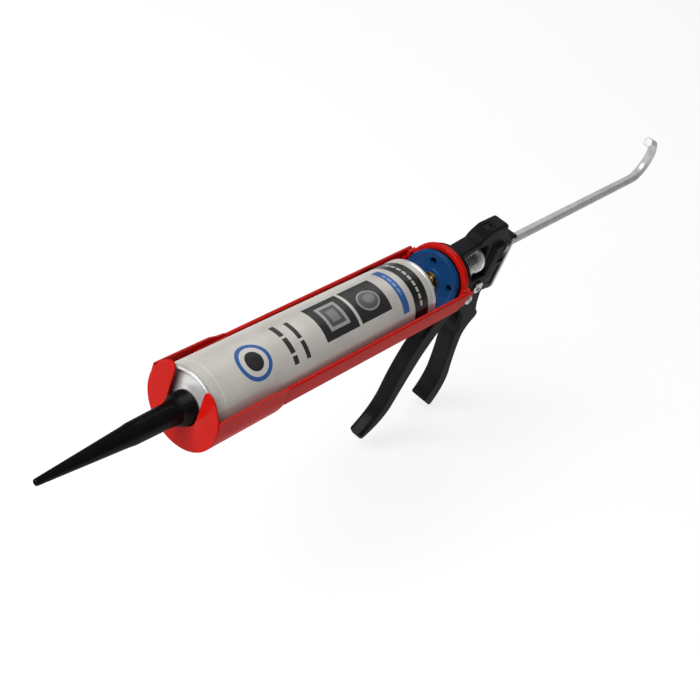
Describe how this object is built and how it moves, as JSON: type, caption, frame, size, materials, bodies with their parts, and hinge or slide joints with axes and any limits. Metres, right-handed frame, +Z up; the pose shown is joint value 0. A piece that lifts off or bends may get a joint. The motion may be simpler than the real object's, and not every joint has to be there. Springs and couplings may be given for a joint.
{
  "type": "caulking gun",
  "caption": "Cradle caulking gun with red side rails, black trigger handle, hooked hexagonal rod, blue plunger disc and a fitted cartridge with a long nozzle.",
  "frame": {"origin": "on the barrel axis, at the flat front face of the plunger's brass head with the rod drawn right back", "axes": "+X along the barrel towards the nozzle, +Y to the gun's left side, +Z up; the handles hang down"},
  "size_m": [0.6772, 0.0584, 0.2093],
  "materials": {
    "cradle_paint": "gloss",
    "handle_paint": "satin",
    "disc_paint": "gloss",
    "screw_steel": "zinc plated",
    "plate_steel": "zinc plated",
    "spring_steel": "bright wire",
    "rod_steel": "zinc plated, scuffed by the plates",
    "brass": "satin",
    "tube_aluminium": "bright",
    "label_print": "printed film",
    "piston_plastic": "matt",
    "pad_plastic": "satin",
    "nozzle_plastic": "satin"
  },
  "bodies": {
    "frame": {"front_cup": "cradle_paint", "rail_left": "cradle_paint", "rail_right": "cradle_paint", "rear_ring": "cradle_paint", "rail_screw_left": "screw_steel", "rail_screw_right": "screw_steel", "body_casting": "handle_paint", "trigger_pin": "screw_steel", "trigger_nut": "screw_steel", "drive_spring": "spring_steel", "release_spring": "spring_steel"},
    "trigger": {"trigger": "handle_paint"},
    "drive": {"drive_plate": "plate_steel"},
    "release": {"release_plate": "plate_steel", "thumb_pad": "pad_plastic"},
    "plunger": {"plunger_disc": "disc_paint", "backing_washer": "plate_steel", "brass_washer": "brass"},
    "rod": {"plunger_rod": "rod_steel", "brass_head": "brass"},
    "cartridge": {"cartridge_tube": "tube_aluminium", "cartridge_label": "label_print"},
    "piston": {"cartridge_piston": "piston_plastic"},
    "nozzle": {"nozzle": "nozzle_plastic"}
  },
  "joints": [
    {"name": "trigger_pull", "type": "hinge", "parent": "frame", "child": "trigger", "pos_m": [-0.067, 0, -0.022], "axis": [0, 1, 0], "range_deg": [0, 26], "stiffness_Nm_per_rad": 0.5, "springref_deg": -17.19},
    {"name": "drive_slide", "type": "slide", "parent": "frame", "child": "drive", "axis": [1, 0, 0], "range_m": [0, 0.0062], "deforming": ["drive_spring"]},
    {"name": "release_tilt", "type": "hinge", "parent": "frame", "child": "release", "pos_m": [-0.102, 0, 0.009], "axis": [0, -1, 0], "range_deg": [0, 6], "stiffness_Nm_per_rad": 0.3, "springref_deg": -5.73, "deforming": ["release_spring"]},
    {"name": "plunger_slide", "type": "slide", "parent": "frame", "child": "plunger", "axis": [1, 0, 0], "range_m": [0, 0.2]},
    {"name": "rod_spin", "type": "hinge", "parent": "plunger", "child": "rod", "pos_m": [0, 0, 0], "axis": [1, 0, 0], "continuous": true},
    {"name": "cartridge_lift", "type": "slide", "parent": "frame", "child": "cartridge", "axis": [0, 0, 1], "range_m": [0, 0.08]},
    {"name": "piston_slide", "type": "slide", "parent": "cartridge", "child": "piston", "axis": [1, 0, 0], "range_m": [0, 0.162]},
    {"name": "nozzle_turn", "type": "hinge", "parent": "cartridge", "child": "nozzle", "pos_m": [0.235, 0, -0.0012], "axis": [1, 0, 0], "continuous": true}
  ],
  "couplings": [
    {"joint": "drive_slide", "follows": "trigger_pull", "m_per_rad": 0.0134},
    {"joint": "piston_slide", "follows": "plunger_slide", "ratio": 0.81}
  ]
}
